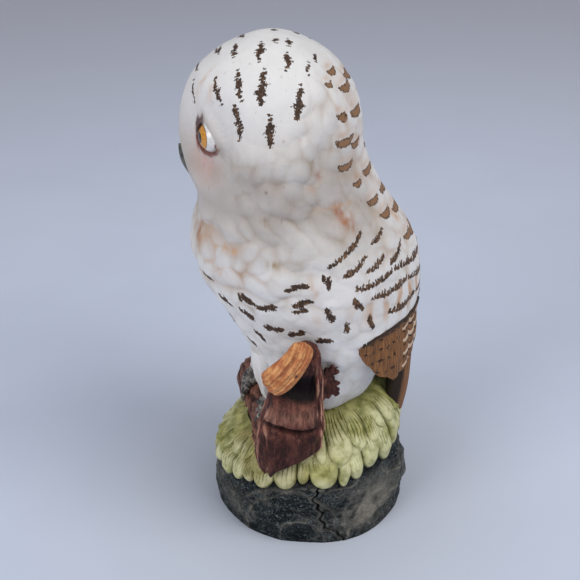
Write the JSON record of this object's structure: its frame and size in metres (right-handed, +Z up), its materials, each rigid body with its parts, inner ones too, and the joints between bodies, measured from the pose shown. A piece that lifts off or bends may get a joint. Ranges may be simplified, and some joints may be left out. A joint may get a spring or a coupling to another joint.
{
  "type": "owl figurine",
  "caption": "Painted bisque porcelain snowy owl standing on a broken log over a leafy rock base, hollow cast, with an open underside and a foot ring.",
  "frame": {"origin": "middle of the figurine's bounding box at the table surface", "axes": "+Z up along the owl, the owl faces -Y, its own left side and the tall stump are +X"},
  "size_m": [0.079, 0.0838, 0.1768],
  "materials": {
    "feathers": "matt bisque, white with soft grey and tan washes and brushed brown bars",
    "primaries": "matt bisque, brown dry-brushed with black ticks and pale flecks",
    "bark": "matt bisque, reddish brown, darker in the grooves",
    "heartwood": "matt bisque, tan with reddish grain",
    "leaves": "matt bisque, pale yellow green with dark green veins",
    "rock": "satin bisque, near black blue green, dry-brushed with pale grey",
    "claws": "satin bisque, dark grey",
    "eye": "gloss paint, amber iris, black pupil and white corner"
  },
  "bodies": {
    "root": {"base_rock": "rock", "owl_torso": "feathers", "owl_head": "feathers", "beak": "claws", "eye_left": "eye", "eye_right": "eye", "wing_left": "feathers", "wing_right": "feathers", "primaries_left": "primaries", "primaries_right": "primaries", "leg_left": "feathers", "leg_right": "feathers", "foot_left": "claws", "foot_right": "claws", "tail": "primaries", "undertail_down": "feathers", "fallen_log": "bark", "log_far_end": "bark", "stump": "bark", "stump_heartwood": "heartwood", "bark_flake": "bark", "leaf_01": "leaves", "leaf_02": "leaves", "leaf_03": "leaves", "leaf_04": "leaves", "leaf_05": "leaves", "leaf_06": "leaves", "leaf_07": "leaves", "leaf_08": "leaves", "leaf_09": "leaves", "leaf_10": "leaves", "leaf_11": "leaves", "leaf_12": "leaves", "leaf_13": "leaves", "leaf_14": "leaves", "leaf_15": "leaves", "leaf_16": "leaves"}
  },
  "joints": []
}
